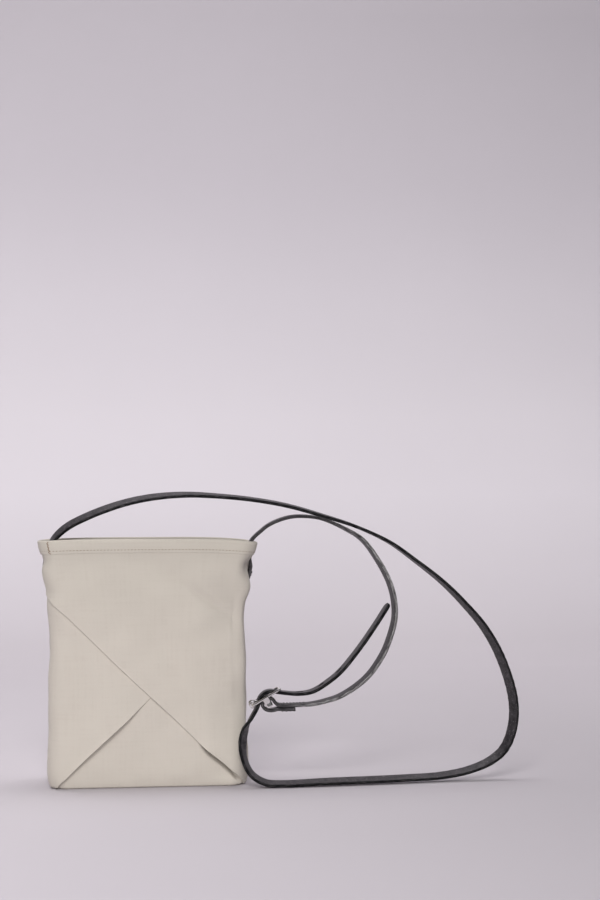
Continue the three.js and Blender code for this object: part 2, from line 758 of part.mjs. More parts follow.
// Buckle frame: a bent wire with two lugs and the centre bar between them
const armSide = STRAP_WIDTH / 2 + 2 * GAP + WIRE / 2;
const wireShape = new THREE.Shape();
wireShape.absarc(FRAME_REAR - FRAME_BEND, armSide - FRAME_BEND, FRAME_BEND, 0, Math.PI / 2);
wireShape.absarc(FRAME_BEND - FRAME_FRONT, armSide - FRAME_BEND, FRAME_BEND, Math.PI / 2, Math.PI);
wireShape.absarc(FRAME_BEND - FRAME_FRONT, FRAME_BEND - armSide, FRAME_BEND, Math.PI, 1.5 * Math.PI);
wireShape.absarc(FRAME_REAR - FRAME_BEND, FRAME_BEND - armSide, FRAME_BEND, 1.5 * Math.PI, 2 * Math.PI);
const wireSides = 10;
const wirePath = wireShape.getPoints(4).slice(0, -1);
const wireRings = wirePath.map((point, i) => {
  const before = wirePath[(i + wirePath.length - 1) % wirePath.length];
  const after = wirePath[(i + 1) % wirePath.length];
  const along = after.clone().sub(before).normalize();
  return spread(0, 2 * Math.PI, wireSides).slice(1).map((angle) => {
    const side = (WIRE / 2) * Math.cos(angle);
    const up = (WIRE / 2) * Math.sin(angle);
    return new THREE.Vector3(point.x + along.y * side, point.y - along.x * side, FRAME_RISE + up);
  });
});

const lugShape = new THREE.Shape();
lugShape.moveTo(-LUG_WIDTH / 2, FRAME_RISE);
lugShape.lineTo(-BAR / 2 - LUG_WALL, 0);
lugShape.absarc(0, 0, BAR / 2 + LUG_WALL, Math.PI, 2 * Math.PI);
lugShape.lineTo(LUG_WIDTH / 2, FRAME_RISE);
const lugDepth = WIRE - 2 * GAP;
const lug = new THREE.ExtrudeGeometry(lugShape, { depth: lugDepth, bevelEnabled: false, curveSegments: 8 });
lug.translate(0, 0, -lugDepth / 2);
lug.rotateX(Math.PI / 2);
let frameSolid = solid(loft(wireRings, true));
frameSolid = frameSolid.add(solid(new THREE.CylinderGeometry(BAR / 2, BAR / 2, 2 * armSide, 16)));
for (const side of [1, -1]) {
  frameSolid = frameSolid.add(solid(lug.clone().translate(0, side * armSide, 0)));
}
add("buckle_frame", geometryOf(frameSolid), nickel(), buckle);

// Roller: a tube that turns on the front bar of the frame
const rollerLength = 2 * (armSide - FRAME_BEND) - GAP;
const rollerBore = ROLLER_OUTSIDE / 2 - ROLLER_WALL;
const roller = new THREE.LatheGeometry(
  [
    new THREE.Vector2(rollerBore, -rollerLength / 2),
    new THREE.Vector2(ROLLER_OUTSIDE / 2, -rollerLength / 2),
    new THREE.Vector2(ROLLER_OUTSIDE / 2, rollerLength / 2),
    new THREE.Vector2(rollerBore, rollerLength / 2),
    new THREE.Vector2(rollerBore, -rollerLength / 2),
  ],
  20,
);
const rollerMesh = add("buckle_roller", roller, nickel(), buckle);
rollerMesh.position.set(-FRAME_FRONT, 0, FRAME_RISE);

const prong = strapSolid(prongLine, false, true, PRONG_WIDTH, PRONG_THICKNESS);
add("buckle_prong", geometryOf(prong), nickel(), buckle);

export default part;
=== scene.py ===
import math

import bpy
import bmesh
import numpy as np
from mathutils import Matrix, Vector


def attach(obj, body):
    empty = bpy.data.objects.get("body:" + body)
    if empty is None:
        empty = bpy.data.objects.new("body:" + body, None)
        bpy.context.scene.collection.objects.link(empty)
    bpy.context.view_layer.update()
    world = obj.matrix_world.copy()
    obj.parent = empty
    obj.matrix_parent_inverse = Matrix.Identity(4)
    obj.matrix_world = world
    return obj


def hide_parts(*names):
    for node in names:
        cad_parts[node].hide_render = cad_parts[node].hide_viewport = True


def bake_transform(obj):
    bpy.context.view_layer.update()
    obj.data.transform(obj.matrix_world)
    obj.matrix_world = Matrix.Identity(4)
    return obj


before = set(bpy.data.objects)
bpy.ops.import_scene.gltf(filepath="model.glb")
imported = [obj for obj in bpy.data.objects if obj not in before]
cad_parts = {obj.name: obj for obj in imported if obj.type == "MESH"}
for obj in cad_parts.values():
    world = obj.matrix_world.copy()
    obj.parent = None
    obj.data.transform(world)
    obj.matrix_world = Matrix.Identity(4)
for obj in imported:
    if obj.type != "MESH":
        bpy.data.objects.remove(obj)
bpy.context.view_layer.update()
scene = bpy.context.scene
scene.view_settings.view_transform = "Standard"

# Camera. It stands level at the photograph's height and looks a little to the right of the bag's front.
camera = bpy.data.objects.new("camera", bpy.data.cameras.new("camera"))
scene.collection.objects.link(camera)
camera.location = (-0.045, -1.7909, 0.3375)
camera.rotation_euler = (math.radians(90), 0, math.radians(-6.4))
camera.data.sensor_width = 36
camera.data.lens = 70
scene.camera = camera


# Tools. Lengths are in millimetres until a mesh is made.
MM = 0.001


def node(tree, kind, inputs=None, **fields):
    """A shader or geometry node with its settings, input values and input links."""
    made = tree.nodes.new(kind)
    for field, value in fields.items():
        setattr(made, field, value)
    for socket, value in (inputs or {}).items():
        if isinstance(value, bpy.types.NodeSocket):
            tree.links.new(value, made.inputs[socket])
        else:
            made.inputs[socket].default_value = value
    return made


def shader(name):
    """A new material, its tree and its principled shader."""
    made = bpy.data.materials.new(name)
    made.use_nodes = True
    return made, made.node_tree, made.node_tree.nodes["Principled BSDF"]


def ramp(tree, value, *stops):
    """A colour ramp from (place, grey or colour) stops."""
    made = node(tree, "ShaderNodeValToRGB", {"Fac": value})
    while len(made.color_ramp.elements) < len(stops):
        made.color_ramp.elements.new(0.5)
    for element, (place, colour) in zip(made.color_ramp.elements, stops):
        element.position = place
        colour = (colour,) * 3 if isinstance(colour, (int, float)) else colour
        element.color = (*colour, 1)
    return made.outputs["Color"]


def blended(tree, factor, first, second, blend_type="MIX"):
    """Two colours mixed or multiplied by a factor."""
    inputs = {"Factor": factor, "A": first, "B": second}
    return node(tree, "ShaderNodeMix", inputs, data_type="RGBA", blend_type=blend_type).outputs["Result"]


def piece(name, points, faces, material, uv=None, edge=None, sharp=40):
    """A smooth mesh object from points in millimetres, with an optional UV and edge value for each point."""
    mesh = bpy.data.meshes.new(name)
    mesh.from_pydata((np.asarray(points, float) * MM).tolist(), [], faces)
    mesh.materials.append(material)
    mesh.shade_smooth()
    if uv is not None:
        layer = mesh.uv_layers.new(name="UVMap")
        corner = np.zeros(len(mesh.loops), np.int32)
        mesh.loops.foreach_get("vertex_index", corner)
        layer.data.foreach_set("uv", (np.asarray(uv, np.float32) * MM)[corner].ravel())
    if edge is not None:
        attribute = mesh.attributes.new("edge", "FLOAT", "POINT")
        attribute.data.foreach_set("value", np.asarray(edge, np.float32))
    tidy = bmesh.new()
    tidy.from_mesh(mesh)
    bmesh.ops.recalc_face_normals(tidy, faces=tidy.faces)
    tidy.to_mesh(mesh)
    tidy.free()
    mesh.set_sharp_from_angle(angle=math.radians(sharp))
    made = bpy.data.objects.new(name, mesh)
    scene.collection.objects.link(made)
    return made


def loft(rings, closes=False):
    """Faces between rings of equal point counts, with end caps unless the last ring joins the first."""
    rings = np.asarray(rings, float)
    count, around = rings.shape[:2]
    faces = []
    for i in range(count if closes else count - 1):
        here, there = i * around, (i + 1) % count * around
        for j in range(around):
            k = (j + 1) % around
            faces.append((here + j, here + k, there + k, there + j))
    if not closes:
        faces.append(tuple(range(around)))
        faces.append(tuple(range(count * around - 1, (count - 1) * around - 1, -1)))
    return rings.reshape(-1, 3), faces


def smoothstep(low, high, value):
    t = np.clip((np.asarray(value, float) - low) / (high - low), 0, 1)
    return t * t * (3 - 2 * t)


# Strap leather: dark, close-grained faces that shine at a glance, with dry, fibrous cut edges.
def leather(name, face_dark, face_light, edge_dark, edge_mid, edge_light):
    """Strap leather from the greys of its faces and of its cut edges."""
    made, tree, leather_shader = shader(name)
    place = node(tree, "ShaderNodeTexCoord").outputs["Object"]
    along = node(tree, "ShaderNodeTexCoord").outputs["UV"]
    cut = node(tree, "ShaderNodeAttribute", attribute_name="edge").outputs["Fac"]
    pores = node(tree, "ShaderNodeTexVoronoi", {"Vector": place, "Scale": 900.0}).outputs["Distance"]
    grain = node(tree, "ShaderNodeTexNoise", {"Vector": place, "Scale": 1400.0, "Detail": 4.0}).outputs["Fac"]
    cloudy = node(tree, "ShaderNodeTexNoise", {"Vector": place, "Scale": 190.0, "Detail": 6.0}).outputs["Fac"]
    stretch = node(tree, "ShaderNodeMapping", {"Vector": along, "Scale": (0.3, 2.0, 1.0)}).outputs["Vector"]
    fibres = node(tree, "ShaderNodeTexNoise", {"Vector": stretch, "Scale": 420.0, "Detail": 6.0}).outputs["Fac"]
    face_tone = ramp(tree, cloudy, (0.36, face_dark), (0.64, face_light))
    scuffs = node(tree, "ShaderNodeTexNoise", {"Vector": place, "Scale": 620.0, "Detail": 3.0}).outputs["Fac"]
    scuffed = node(tree, "ShaderNodeMapRange", {"Value": scuffs, "From Min": 0.6, "From Max": 0.76}).outputs["Result"]
    face_colour = blended(tree, scuffed, face_tone, (0.2, 0.186, 0.198, 1))
    edge_colour = ramp(tree, fibres, (0.38, edge_dark), (0.52, edge_mid), (0.72, edge_light))
    tree.links.new(blended(tree, cut, face_colour, edge_colour), leather_shader.inputs["Base Color"])
    rubbed = node(tree, "ShaderNodeMapRange", {"Value": cloudy, "To Min": 0.34, "To Max": 0.5}).outputs["Result"]
    rough = node(tree, "ShaderNodeMix", {"Factor": cut, "A": rubbed, "B": 0.8}).outputs["Result"]
    tree.links.new(rough, leather_shader.inputs["Roughness"])
    gloss = node(tree, "ShaderNodeMix", {"Factor": cut, "A": 0.5, "B": 0.15}).outputs["Result"]
    tree.links.new(gloss, leather_shader.inputs["Specular IOR Level"])
    relief = node(tree, "ShaderNodeBump", {"Height": pores, "Strength": 0.25, "Distance": 0.0003}).outputs["Normal"]
    relief = node(
        tree, "ShaderNodeBump", {"Height": grain, "Strength": 0.35, "Distance": 0.0002, "Normal": relief}
    )
    tree.links.new(relief.outputs["Normal"], leather_shader.inputs["Normal"])
    return made


dyed_leather = leather(
    "strap_leather_dyed", (0.011, 0.0095, 0.0115), (0.046, 0.0415, 0.046),
    (0.003, 0.003, 0.004), (0.011, 0.011, 0.012), (0.085, 0.082, 0.084),
)
raw_leather = leather(
    "strap_leather_raw", (0.012, 0.0105, 0.0125), (0.043, 0.039, 0.043),
    (0.04, 0.039, 0.04), (0.2, 0.195, 0.198), (0.46, 0.45, 0.452),
)

STRAP_WIDTH, STRAP_THICKNESS = 12, 3.5
EDGE_EASE, CROWN = 0.85, 0.12
HOLE_RADIUS, HOLE_STRAIGHT, HOLE_PITCH, PUNCH_REACH = 1.8, 2.0, 24, 5


def follow(route, step):
    """Places and twists along a centripetal Catmull-Rom curve through x, y, z, twist points."""
    knots = np.array(route, float)
    xyz = np.vstack([2 * knots[0, :3] - knots[1, :3], knots[:, :3], 2 * knots[-1, :3] - knots[-2, :3]])
    places, twists = [], []
    for i in range(len(knots) - 1):
        a, b, c, d = xyz[i : i + 4]
        ab, bc, cd = (max(np.linalg.norm(q - p), 1e-6) ** 0.5 for p, q in ((a, b), (b, c), (c, d)))
        out = ((b - a) / ab - (c - a) / (ab + bc) + (c - b) / bc) * bc
        into = ((c - b) / bc - (d - b) / (bc + cd) + (d - c) / cd) * bc
        count = max(4, round(np.linalg.norm(c - b) / step))
        for t in np.arange(count) / count:
            bend = (2 * b - 2 * c + out + into) * t**3 + (3 * c - 3 * b - 2 * out - into) * t**2
            places.append(bend + out * t + b)
            twists.append(knots[i, 3] + (knots[i + 1, 3] - knots[i, 3]) * t)
    return np.array([*places, knots[-1, :3]]), np.radians([*twists, knots[-1, 3]])


def directions(line, twists):
    """Tangent, width direction and normal at each place of a line."""
    tangent = np.gradient(line, axis=0)
    tangent /= np.linalg.norm(tangent, axis=1)[:, None]
    flat = np.array([0, 1, 0]) - tangent * tangent[:, 1:2]
    flat /= np.linalg.norm(flat, axis=1)[:, None]
    up = np.cross(tangent, flat)
    across = flat * np.cos(twists)[:, None] + up * np.sin(twists)[:, None]
    return tangent, across, np.cross(tangent, across)


def ribbon(name, route, material, round_end=True, pale_edge_span=(0, 5000)):
    """A leather strap along a route: crowned faces, eased edges that are pale only over a given stretch of it and
    darker elsewhere, and a half-round start. Returns it and its line."""
    line, twists = follow(route, 2.2)
    tangent, across, normal = directions(line, twists)
    travel = np.concatenate([[0], np.cumsum(np.linalg.norm(np.diff(line, axis=0), axis=1))])
    half, deep = STRAP_WIDTH / 2, STRAP_THICKNESS / 2
    outline = []
    for side in (1, -1):
        for w in np.linspace(-1, 1, 9):
            outline.append((side * w * (half - EDGE_EASE), side * (deep - CROWN * w * w), 0.0))
        for turn in np.radians([35, 65, 90, 115, 145]):
            wide = half - EDGE_EASE + EDGE_EASE * math.sin(turn)
            outline.append((side * wide, side * (deep - CROWN) * math.cos(turn), 1.0))
    outline = np.array(outline)
    rings, uv, edge = [], [], []
    girth = np.linspace(0, 2 * (STRAP_WIDTH + STRAP_THICKNESS), len(outline))
    for i, here in enumerate(line):
        left = min(travel[i], travel[-1] - travel[i] if round_end else half, half)
        narrow = math.sqrt(max(0.02, 1 - (1 - left / half) ** 2))
        ragged = 0.10 * math.sin(travel[i] * 2.1) + 0.08 * math.sin(travel[i] * 0.83 + 1)
        w = outline[:, 0] * narrow + np.sign(outline[:, 0]) * ragged * outline[:, 2]
        rings.append(here + w[:, None] * across[i] + outline[:, 1:2] * normal[i])
        uv += [(travel[i], v) for v in girth]
        # The cut edges are pale only over the given span of the strap and darker outside it.
        raw = smoothstep(pale_edge_span[0] - 50, pale_edge_span[0], travel[i]) * smoothstep(pale_edge_span[1] + 20, pale_edge_span[1], travel[i])
        edge += list(outline[:, 2] * (0.15 + 0.85 * raw))
    points, faces = loft(rings)
    return piece(name, points, faces, material, uv, edge, 60), line


def punched(strap, line, spot, steps, pulled=0.0):
    """Cuts oval holes through a strap, at steps in millimetres along its line from the point nearest to a spot. The
    hole at the spot is pulled longer at both ends."""
    tangent, across, normal = directions(line, np.zeros(len(line)))
    travel = np.concatenate([[0], np.cumsum(np.linalg.norm(np.diff(line, axis=0), axis=1))])
    first = travel[np.linalg.norm(line - np.array(spot), axis=1).argmin()]
    cutter = bmesh.new()
    for step in steps:
        i = int(np.abs(travel - first - step).argmin())
        oval = []
        for turn in np.radians(np.arange(0, 360, 15)):
            straight = HOLE_STRAIGHT if step else HOLE_STRAIGHT + pulled
            u = HOLE_RADIUS * math.cos(turn) + math.copysign(straight, math.cos(turn))
            oval.append(u * tangent[i] + HOLE_RADIUS * math.sin(turn) * across[i])
        ends = [
            [cutter.verts.new((line[i] + v + side * PUNCH_REACH * normal[i]) * MM) for v in oval]
            for side in (-1, 1)
        ]
        cutter.faces.new(ends[0][::-1])
        cutter.faces.new(ends[1])
        for j in range(len(oval)):
            k = (j + 1) % len(oval)
            cutter.faces.new((ends[0][j], ends[0][k], ends[1][k], ends[1][j]))
    bmesh.ops.recalc_face_normals(cutter, faces=cutter.faces)
    mesh = bpy.data.meshes.new("punch")
    cutter.to_mesh(mesh)
    cutter.free()
    tool = bpy.data.objects.new("punch", mesh)
    scene.collection.objects.link(tool)
    cut = strap.modifiers.new("holes", "BOOLEAN")
    cut.object = tool
    cut.operation = "DIFFERENCE"
    cut.solver = "EXACT"
    cut.use_self = True
    made = bpy.data.meshes.new_from_object(strap.evaluated_get(bpy.context.evaluated_depsgraph_get()))
    strap.modifiers.clear()
    strap.data = made
    bpy.data.objects.remove(tool)


HEIGHT, SWELL, NECK = 247.0, 20.0, 97.0
BODY_HALF, RIM_FLARE, LEFT_DIP, RIGHT_DIP = 100, 10.5, 2.0, 4.4
TUCK_DEPTH, TUCK_DROP, TUCK_SPREAD = 3.5, 34, 20
TIP_DROP, RIVET_DROP, SLIT_FOOT = 39, 32.5, 26
BUCKLE_TURN = math.radians(30.5)
BUCKLE_X, BUCKLE_Y, BUCKLE_Z = 120, -33, 81.8
FRONT_BAR, REAR_BAR, BAR_RISE = -14.4, 17.2, 7.5


def tuck(z):
    """How far the strap ends draw the gussets in."""
    return TUCK_DEPTH * np.exp(-(((HEIGHT - TUCK_DROP - z) / TUCK_SPREAD) ** 2))


def on_gusset(side, drop, off):
    """Place on the middle line of a gusset, at a drop below the rim and an offset from the canvas."""
    z = HEIGHT - drop
    wide = BODY_HALF + RIM_FLARE * (1 - drop / NECK) ** 2
    x = wide + off - tuck(z)
    dip = (RIGHT_DIP if side > 0 else LEFT_DIP) * (x / wide) ** 4 * (z / HEIGHT) ** 3
    return (side * x, 0, z - dip, 0)


def strap_end(side):
    """Route of a strap end: from its tip over the rivet, in through the slit and up behind the hem."""
    outside, within, inside = 2.05, -0.75, -4.35
    stops = ((TIP_DROP, outside), (RIVET_DROP, outside), (SLIT_FOOT, outside), (19.5, within), (12, inside))
    return [on_gusset(side, drop, off) for drop, off in stops]


def at_buckle(points):
    """Points of the buckle's own frame, X to its rear bar and Z out of it, placed where the buckle hangs."""
    u, v, n = np.asarray(points, float).T
    x = BUCKLE_X + u * math.cos(BUCKLE_TURN) - n * math.sin(BUCKLE_TURN)
    z = BUCKLE_Z + u * math.sin(BUCKLE_TURN) + n * math.cos(BUCKLE_TURN)
    return np.stack([x, v + BUCKLE_Y, z], 1)


def round_bar(u, n, radius, degrees):
    """Route point at a radius and an angle round one of the buckle's bars."""
    angle = math.radians(degrees)
    return (*at_buckle([(u + radius * math.cos(angle), 0, n + radius * math.sin(angle))])[0], 0)


def folded(x, z):
    """Route point of the short strap's fold, from the middle of the centre bar."""
    return (BUCKLE_X + x, BUCKLE_Y, BUCKLE_Z + z, 0)


# Long strap: riveted to the left gusset, out through the slit and the mouth, over the bag, round to the floor,
# back up through the buckle and on to a free tail that leans on the short strap.
LONG_RUN = [
    (-100, 0, 240, 6), (-95.5, 0, 247, 20), (-89, 0, 254, 27), (-79, -1, 261.5, 29), (-62, -2, 270, 29),
    (-42, -3, 278, 28), (-19, -4, 285, 25), (8, -5.5, 290, 22), (40, -7, 292, 16), (72, -9, 290.5, 11),
    (106, -11, 287, 9), (142, -13, 280.5, 8), (177, -15, 270.5, 6), (212, -17, 259, 2), (246, -19, 243, -4),
    (272, -20, 224.5, -8), (301, -22, 201.5, -14), (324, -23, 178.5, -20), (344, -24, 154.5, -26),
    (361, -25, 123.5, -32), (373.5, -27, 80.5, -36), (372, -29, 52, -34), (363, -30, 31, -30),
    (349, -31, 19.5, -26), (327, -33, 11, -20), (298, -36, 6.2, -18), (254, -41, 5, -17), (180, -47, 4.5, -17),
    (132, -49, 3.6, -14), (116, -49, 5, -17), (102, -48, 13.5, -21), (94.6, -46.5, 28.5, -24),
    (93.2, -44.5, 45.5, -40), (96, -41.5, 57, -34), (101.5, -38, 66.5, -1),
]
THROUGH_BUCKLE = [
    round_bar(FRONT_BAR, BAR_RISE, 5.65, -48), round_bar(0, 0, 10.55, 116), round_bar(0, 0, 11.75, 77),
    round_bar(0, 0, 12.85, 50), round_bar(REAR_BAR, BAR_RISE, 4.15, 208),
]
TAIL_RUN = [
    (150, -30, 91, 2), (165, -29, 93, 5), (180.5, -27, 101.5, 7), (194, -25, 112, 8), (214, -20, 134.5, 8),
    (231.5, -16, 158, 8), (246.2, -12.5, 179.5, 8),
]
long_strap, long_line = ribbon("long_strap", strap_end(-1) + LONG_RUN + THROUGH_BUCKLE + TAIL_RUN, dyed_leather)
PRONG_CROSSING = (-6.9, 7.05)
prong_hole = at_buckle([(PRONG_CROSSING[0], 0, PRONG_CROSSING[1])])[0]
punched(long_strap, long_line, prong_hole, [HOLE_PITCH * i for i in range(-2, 5)], 1.0)
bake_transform(long_strap)
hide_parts("strap_long", "left_strap_end")

# Short strap: riveted to the right gusset, out of the mouth and down in an arc to the buckle, where its end is
# folded round the centre bar and sewn back on itself.
SHORT_RUN = [
    (105, 0, 243.6, 0), (109, 0, 248.8, 0), (115, 0, 254, 0), (121, 0.8, 258.9, 0), (130.2, 1.5, 263.8, 1),
    (143.7, 2.4, 268.1, 2), (157, 3, 269.3, 2), (178, 4, 266.6, 0), (203, 3.5, 256, -4), (221, 2, 244.5, -8),
    (238, -2, 221, -12), (248, -7, 200, -12), (252, -11, 182, -12), (252, -14, 165, -12), (246.5, -18, 146, -12),
    (238, -21, 127.5, -12), (220, -26, 105, -10), (194, -29, 88, -6), (180, -30, 83.6, -4), (165, -31, 80.6, -2),
]
FOLD = [folded(28, -1.8), folded(17.5, -2), folded(12, -1.6), folded(9, -0.8), folded(6.7, 1.3)]
FOLD_RADIUS = 6.15
FOLD += [folded(FOLD_RADIUS * math.cos(t), FOLD_RADIUS * math.sin(t)) for t in np.radians(range(38, 243, 34))]
FOLD += [folded(1.5, -6.6), folded(5.5, -6.3), folded(9.5, -5.4), folded(17.5, -5.8), folded(27, -5.6)]
short_strap, short_line = ribbon("short_strap", strap_end(1) + SHORT_RUN + FOLD, raw_leather, False, (170, 395))
punched(short_strap, short_line, (118.3, BUCKLE_Y, 87.7), [0, 3.6])
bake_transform(short_strap)
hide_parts("strap_short", "right_strap_end")

# Nickel of the buckle and rivets: bright, with fine rubbing marks and a little tarnish.
nickel, tree, nickel_shader = shader("nickel")
place = node(tree, "ShaderNodeTexCoord").outputs["Object"]
tarnish = node(tree, "ShaderNodeTexNoise", {"Vector": place, "Scale": 260.0, "Detail": 5.0}).outputs["Fac"]
rubbed = node(tree, "ShaderNodeMapping", {"Vector": place, "Scale": (4.0, 0.4, 4.0)}).outputs["Vector"]
marks = node(tree, "ShaderNodeTexNoise", {"Vector": rubbed, "Scale": 2200.0, "Detail": 3.0}).outputs["Fac"]
tree.links.new(
    ramp(tree, tarnish, (0.25, (0.62, 0.605, 0.59)), (0.5, (0.84, 0.825, 0.81))), nickel_shader.inputs["Base Color"]
)
nickel_shader.inputs["Metallic"].default_value = 1
rough = node(tree, "ShaderNodeMapRange", {"Value": marks, "To Min": 0.09, "To Max": 0.2}).outputs["Result"]
tree.links.new(rough, nickel_shader.inputs["Roughness"])
relief = node(tree, "ShaderNodeBump", {"Height": marks, "Strength": 0.02, "Distance": 0.0001})
tree.links.new(relief.outputs["Normal"], nickel_shader.inputs["Normal"])


def wire(line, radii, normal, sides=14, closes=False):
    """Rings of a round wire along a line that lies square to normal, and that may close on itself."""
    tangent = np.roll(line, -1, 0) - np.roll(line, 1, 0) if closes else np.gradient(line, axis=0)
    tangent /= np.linalg.norm(tangent, axis=1)[:, None]
    out = np.cross(tangent, normal)
    turn = np.linspace(0, 2 * np.pi, sides, endpoint=False)
    ring = np.cos(turn)[None, :, None] * out[:, None] + np.sin(turn)[None, :, None] * np.array(normal)
    return line[:, None] + ring * np.asarray(radii, float)[:, None, None]


def joined(*shapes):
    """One list of points and faces from several."""
    points, faces = [], []
    for some, their in shapes:
        faces += [tuple(i + len(points) for i in face) for face in their]
        points += list(some)
    return np.array(points), faces


# Buckle frame: a bent wire loop with two lugs that hold the centre bar below it.
arm, bend, wire_radius, lug_radius = 7.9, 3.0, 1.3, 3.6
rear, front, left = REAR_BAR - bend, FRONT_BAR + bend, arm - bend
loop = []
for cx, cy, first in ((rear, left, 0), (front, left, 90), (front, -left, 180), (rear, -left, 270)):
    for turn in np.radians(np.linspace(first, first + 90, 9)):
        loop.append((cx + bend * math.cos(turn), cy + bend * math.sin(turn), BAR_RISE))
loop = np.array(loop)
shapes = [loft(wire(loop, np.full(len(loop), wire_radius), (0, 0, 1.0), 16, True), True)]
for side in (1, -1):
    outline = [(-3.5, BAR_RISE), (-3.55, 5.5), (-lug_radius, 3.5), (-lug_radius, 1.8)]
    outline += [(lug_radius * math.cos(t), lug_radius * math.sin(t)) for t in np.radians(range(180, 361, 12))]
    outline += [(-u, n) for u, n in outline[3::-1]]
    rim = [(0.02, 1.0), (0.3, 1.0), (0.55, 1.0), (0.78, 1.0), (0.92, 0.6), (1.0, 0.3)]
    slab = []
    for share, lift in [(k, -h) for k, h in rim] + rim[::-1]:
        ring = []
        for u, n in outline:
            n = 2 + (n - 2) * (share if n < 2 else max(share, 0.3) if n < BAR_RISE else 1)
            dish = 0.9 * smoothstep(2.2, BAR_RISE, n) + 0.9 * smoothstep(2.2, -lug_radius, n)
            ring.append((u * share, side * arm + lift + math.copysign(dish, lift), n))
        slab.append(ring)
    shapes.append(loft(slab))
bar = np.array([(0, y, 0) for y in np.linspace(-arm - 0.6, arm + 0.6, 5)])
shapes.append(loft(wire(bar, [1.5, 2, 2, 2, 1.5], (0, 0, 1.0), 20)))
points, faces = joined(*shapes)
buckle_loop = piece("buckle_loop", at_buckle(points), faces, nickel)
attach(buckle_loop, "frame")
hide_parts("buckle_frame")

# Roller: a thin tube with rolled ends on the front bar.
turn = np.linspace(0, 2 * np.pi, 28, endpoint=False)
wall = [(-4.55, 2.5), (-4.75, 2.75), (-4.7, 3.0), (-4.5, 3.2), (-4.2, 3.25), (-3.7, 3.12), (3.7, 3.12), (4.2, 3.25),
        (4.5, 3.2), (4.7, 3.0), (4.75, 2.75), (4.55, 2.5), (4.0, 2.45), (-4.0, 2.45)]
rings = [[(FRONT_BAR + r * math.cos(t), y, BAR_RISE + r * math.sin(t)) for y, r in wall] for t in turn]
points, faces = loft(rings, True)
roller = piece("roller", at_buckle(points), faces, nickel)
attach(roller, "roller")
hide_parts("buckle_roller")

# Prong: a tapered wire curled round the centre bar, through a hole of the long strap and over the roller.
PRONG = [
    (-2.87, -1.04), (-1.75, -2.5), (0, -3.05), (1.75, -2.5), (2.87, -1.04), (2.95, 0.79), (1.96, 2.34), (0.27, 3.04),
    (-3.6, 4.25), PRONG_CROSSING, (-9.4, 8.9), (-11.8, 11.1), (FRONT_BAR, 11.8), (-16.8, 11.1),
]
line = follow([(u, 0, n, 0) for u, n in PRONG], 0.35)[0]
share = np.linspace(0, 1, len(line))
radii = 0.74 - 0.12 * smoothstep(0.45, 0.95, share)
radii[-3:] *= [0.95, 0.75, 0.35]
rings = wire(line, radii, (0, 1.0, 0))
rings[:, :, 1] *= 1.55
points, faces = loft(rings)
prong = piece("prong", at_buckle(points), faces, nickel)
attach(prong, "prong")
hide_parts("buckle_prong")

# Canvas: a close plain weave with slubs, a warm pale grey that varies by thread, with painted shade towards the
# mouth.
canvas, tree, canvas_shader = shader("canvas")
place = node(tree, "ShaderNodeTexCoord").outputs["Object"]
threads = node(tree, "ShaderNodeTexCoord").outputs["UV"]
warp = node(tree, "ShaderNodeTexWave", {"Vector": threads, "Scale": 450.0, "Distortion": 0.5}, bands_direction="X")
weft = node(tree, "ShaderNodeTexWave", {"Vector": threads, "Scale": 450.0, "Distortion": 0.5}, bands_direction="Y")
weave = node(tree, "ShaderNodeMath", {0: warp.outputs["Fac"], 1: weft.outputs["Fac"]}, operation="MULTIPLY")
tall = node(tree, "ShaderNodeMapping", {"Vector": threads, "Scale": (1.0, 0.05, 1.0)}).outputs["Vector"]
wide = node(tree, "ShaderNodeMapping", {"Vector": threads, "Scale": (0.05, 1.0, 1.0)}).outputs["Vector"]
slub_up = node(tree, "ShaderNodeTexNoise", {"Vector": tall, "Scale": 420.0, "Detail": 4.0}).outputs["Fac"]
slub_on = node(tree, "ShaderNodeTexNoise", {"Vector": wide, "Scale": 420.0, "Detail": 4.0}).outputs["Fac"]
slubs = node(tree, "ShaderNodeMath", {0: slub_up, 1: slub_on}, operation="ADD").outputs["Value"]
mottle = node(tree, "ShaderNodeTexNoise", {"Vector": place, "Scale": 16.0, "Detail": 4.0}).outputs["Fac"]
thread_tone = ramp(tree, slubs, (0.75, (0.652, 0.602, 0.535)), (1.25, (0.67, 0.622, 0.554)))
patch_tone = ramp(tree, mottle, (0.3, 0.96), (0.7, 1.0))
# Painted shade: the canvas colour darkens with height, most near the mouth.
upright = node(tree, "ShaderNodeSeparateXYZ", {"Vector": place}).outputs["Z"]
level = node(tree, "ShaderNodeMapRange", {"Value": upright, "From Min": 0.0, "From Max": 0.24}).outputs["Result"]
painted_mouth_shade = ramp(tree, level, (0.0, 1.0), (0.6, 0.965), (1.0, 0.83))
weave_tone = ramp(tree, weave.outputs["Value"], (0.0, 0.88), (0.45, 1.0))
tone = blended(tree, 1.0, thread_tone, blended(tree, 1.0, patch_tone, painted_mouth_shade, "MULTIPLY"), "MULTIPLY")
tree.links.new(blended(tree, 1.0, tone, weave_tone, "MULTIPLY"), canvas_shader.inputs["Base Color"])
canvas_shader.inputs["Roughness"].default_value = 0.92
canvas_shader.inputs["Specular IOR Level"].default_value = 0.2
canvas_shader.inputs["Sheen Weight"].default_value = 0.15
relief = node(tree, "ShaderNodeBump", {"Height": weave.outputs["Value"], "Strength": 0.35, "Distance": 0.0002})
relief = node(
    tree, "ShaderNodeBump",
    {"Height": slubs, "Strength": 0.2, "Distance": 0.0002, "Normal": relief.outputs["Normal"]},
)
tree.links.new(relief.outputs["Normal"], canvas_shader.inputs["Normal"])


# Lengths along the belly of half a flat front, a corner and a gusset, and the peak where the folds meet
FLAT, CORNER, GUSSET = 82, 28.3, 38
PEAK_X, PEAK_HEIGHT, LONG_SLOPE, SHORT_SLOPE, FOLD_FOOT = 2, 91, 0.96, 0.94, 1.5


